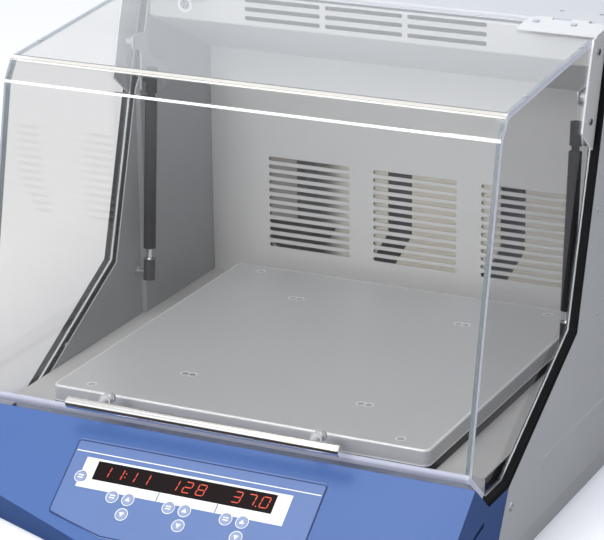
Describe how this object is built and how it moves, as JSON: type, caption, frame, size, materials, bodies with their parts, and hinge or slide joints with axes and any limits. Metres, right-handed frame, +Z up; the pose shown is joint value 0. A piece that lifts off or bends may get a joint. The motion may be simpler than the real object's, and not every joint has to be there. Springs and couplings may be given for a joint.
{
  "type": "incubated benchtop shaker",
  "caption": "Benchtop incubator shaker: sloping keypad front, slotted chamber with an orbiting platform, and a clear folded hood on hinges and gas springs.",
  "frame": {"origin": "on the table, under the middle of the instrument", "axes": "+X to the right seen from the front, +Y to the back, +Z up"},
  "size_m": [0.5832, 0.67, 0.5191],
  "materials": {
    "fascia_blue": "satin",
    "housing_grey": "satin",
    "chamber_grey": "satin",
    "pan_grey": "satin",
    "platform_silver": "satin",
    "black_metal": "satin",
    "steel": "satin",
    "cast_steel": "matte",
    "chrome": "polished",
    "rubber_black": "matte",
    "clear_hood": "gloss",
    "window_tint": "gloss",
    "foil_blue": "matte",
    "key_grey": "matte",
    "black_plastic": "matte",
    "white_plastic": "matte",
    "board_green": "matte"
  },
  "bodies": {
    "base": {"base_pan": "pan_grey", "feet": "rubber_black", "side_wall_left": "housing_grey", "side_wall_right": "housing_grey", "front_cover": "fascia_blue", "keypad_foil": "foil_blue", "display_window": "window_tint", "control_board": "board_green", "seal_left": "rubber_black", "seal_right": "rubber_black", "seal_rear": "rubber_black", "rear_housing": "housing_grey", "chamber_liner": "chamber_grey", "duct_wall": "chamber_grey", "duct_baffle": "steel", "round_vent": "white_plastic", "fan_motor": "black_plastic", "heater": "steel", "bearing_blocks": "steel", "drive_motor": "black_metal", "drive_belt": "rubber_black", "power_supply": "cast_steel", "mains_inlet": "black_plastic", "power_switch": "black_plastic", "hinge_leaves": "steel", "spring_mounts": "chrome"},
    "hood": {"hood_wrap": "clear_hood", "hood_side_left": "clear_hood", "hood_side_right": "clear_hood", "handle_bar": "chrome", "hinge_bracket_left": "steel", "hinge_bracket_right": "steel", "spring_plates": "steel", "hood_screws": "steel"},
    "spring_rod_left": {"spring_rod_left": "chrome"},
    "spring_rod_right": {"spring_rod_right": "chrome"},
    "spring_cylinder_left": {"spring_cylinder_left": "black_metal"},
    "spring_cylinder_right": {"spring_cylinder_right": "black_metal"},
    "drive": {"drive_crank": "steel", "counterweight": "cast_steel", "drive_pulley": "black_plastic"},
    "platform": {"platform": "platform_silver", "platform_screws": "steel", "carriage": "black_metal"},
    "idler_front_left": {"idler_crank_front_left": "steel"},
    "idler_front_right": {"idler_crank_front_right": "steel"},
    "idler_rear": {"idler_crank_rear": "steel"},
    "motor_shaft": {"motor_pulley": "black_plastic"},
    "fan": {"fan_wheel": "black_plastic"},
    "rocker": {"power_rocker": "black_plastic"},
    "key_01": {"key_01": "key_grey"},
    "key_02": {"key_02": "key_grey"},
    "key_03": {"key_03": "key_grey"},
    "key_04": {"key_04": "key_grey"},
    "key_05": {"key_05": "key_grey"},
    "key_06": {"key_06": "key_grey"},
    "key_07": {"key_07": "key_grey"},
    "key_08": {"key_08": "key_grey"},
    "key_09": {"key_09": "key_grey"},
    "key_10": {"key_10": "key_grey"}
  },
  "joints": [
    {"name": "hood_open", "type": "hinge", "parent": "base", "child": "hood", "pos_m": [0, 0.16, 0.514], "axis": [-1, 0, 0], "range_deg": [0, 60]},
    {"name": "spring_tilt_left", "type": "hinge", "parent": "base", "child": "spring_rod_left", "pos_m": [-0.256, 0.107, 0.179], "axis": [1, 0, 0], "range_deg": [0, 14.92]},
    {"name": "spring_extend_left", "type": "slide", "parent": "spring_rod_left", "child": "spring_cylinder_left", "axis": [0, 0.0827, 0.9966], "range_m": [0, 0.08667]},
    {"name": "spring_tilt_right", "type": "hinge", "parent": "base", "child": "spring_rod_right", "pos_m": [0.256, 0.107, 0.179], "axis": [1, 0, 0], "range_deg": [0, 14.92]},
    {"name": "spring_extend_right", "type": "slide", "parent": "spring_rod_right", "child": "spring_cylinder_right", "axis": [0, 0.0827, 0.9966], "range_m": [0, 0.08667]},
    {"name": "drive_spin", "type": "hinge", "parent": "base", "child": "drive", "pos_m": [0, 0.0567, 0.08], "axis": [0, 0, 1], "continuous": true},
    {"name": "platform_orbit", "type": "hinge", "parent": "drive", "child": "platform", "pos_m": [0, 0.0467, 0.13], "axis": [0, 0, 1], "continuous": true},
    {"name": "motor_spin", "type": "hinge", "parent": "base", "child": "motor_shaft", "pos_m": [-0.165, 0.0567, 0.06], "axis": [0, 0, 1], "continuous": true},
    {"name": "idler_spin_front_left", "type": "hinge", "parent": "base", "child": "idler_front_left", "pos_m": [-0.15, -0.0633, 0.1], "axis": [0, 0, 1], "continuous": true},
    {"name": "idler_spin_front_right", "type": "hinge", "parent": "base", "child": "idler_front_right", "pos_m": [0.15, -0.0633, 0.1], "axis": [0, 0, 1], "continuous": true},
    {"name": "idler_spin_rear", "type": "hinge", "parent": "base", "child": "idler_rear", "pos_m": [0, 0.2067, 0.1], "axis": [0, 0, 1], "continuous": true},
    {"name": "fan_spin", "type": "hinge", "parent": "base", "child": "fan", "pos_m": [-0.1384, 0.307, 0.215], "axis": [0, 1, 0], "continuous": true},
    {"name": "key_01_press", "type": "slide", "parent": "base", "child": "key_01", "axis": [0, 0.6157, -0.788], "range_m": [0, 0.0004], "stiffness_N_per_m": 600, "springref_m": -0.001},
    {"name": "key_02_press", "type": "slide", "parent": "base", "child": "key_02", "axis": [0, 0.6157, -0.788], "range_m": [0, 0.0004], "stiffness_N_per_m": 600, "springref_m": -0.001},
    {"name": "key_03_press", "type": "slide", "parent": "base", "child": "key_03", "axis": [0, 0.6157, -0.788], "range_m": [0, 0.0004], "stiffness_N_per_m": 600, "springref_m": -0.001},
    {"name": "key_04_press", "type": "slide", "parent": "base", "child": "key_04", "axis": [0, 0.6157, -0.788], "range_m": [0, 0.0004], "stiffness_N_per_m": 600, "springref_m": -0.001},
    {"name": "key_05_press", "type": "slide", "parent": "base", "child": "key_05", "axis": [0, 0.6157, -0.788], "range_m": [0, 0.0004], "stiffness_N_per_m": 600, "springref_m": -0.001},
    {"name": "key_06_press", "type": "slide", "parent": "base", "child": "key_06", "axis": [0, 0.6157, -0.788], "range_m": [0, 0.0004], "stiffness_N_per_m": 600, "springref_m": -0.001},
    {"name": "key_07_press", "type": "slide", "parent": "base", "child": "key_07", "axis": [0, 0.6157, -0.788], "range_m": [0, 0.0004], "stiffness_N_per_m": 600, "springref_m": -0.001},
    {"name": "key_08_press", "type": "slide", "parent": "base", "child": "key_08", "axis": [0, 0.6157, -0.788], "range_m": [0, 0.0004], "stiffness_N_per_m": 600, "springref_m": -0.001},
    {"name": "key_09_press", "type": "slide", "parent": "base", "child": "key_09", "axis": [0, 0.6157, -0.788], "range_m": [0, 0.0004], "stiffness_N_per_m": 600, "springref_m": -0.001},
    {"name": "key_10_press", "type": "slide", "parent": "base", "child": "key_10", "axis": [0, 0.6157, -0.788], "range_m": [0, 0.0004], "stiffness_N_per_m": 600, "springref_m": -0.001},
    {"name": "rocker_tip", "type": "hinge", "parent": "base", "child": "rocker", "pos_m": [-0.14, 0.32743, 0.072], "axis": [1, 0, 0], "range_deg": [0, 12]}
  ],
  "couplings": [
    {"joint": "spring_tilt_left", "follows": "hood_open", "ratio": 0.24834},
    {"joint": "spring_extend_left", "follows": "hood_open", "m_per_rad": 0.082713},
    {"joint": "spring_tilt_right", "follows": "hood_open", "ratio": 0.24834},
    {"joint": "spring_extend_right", "follows": "hood_open", "m_per_rad": 0.082713},
    {"joint": "idler_spin_front_left", "follows": "drive_spin", "ratio": 1},
    {"joint": "idler_spin_front_right", "follows": "drive_spin", "ratio": 1},
    {"joint": "idler_spin_rear", "follows": "drive_spin", "ratio": 1},
    {"joint": "platform_orbit", "follows": "drive_spin", "ratio": -1},
    {"joint": "motor_spin", "follows": "drive_spin", "ratio": 3.0556}
  ]
}
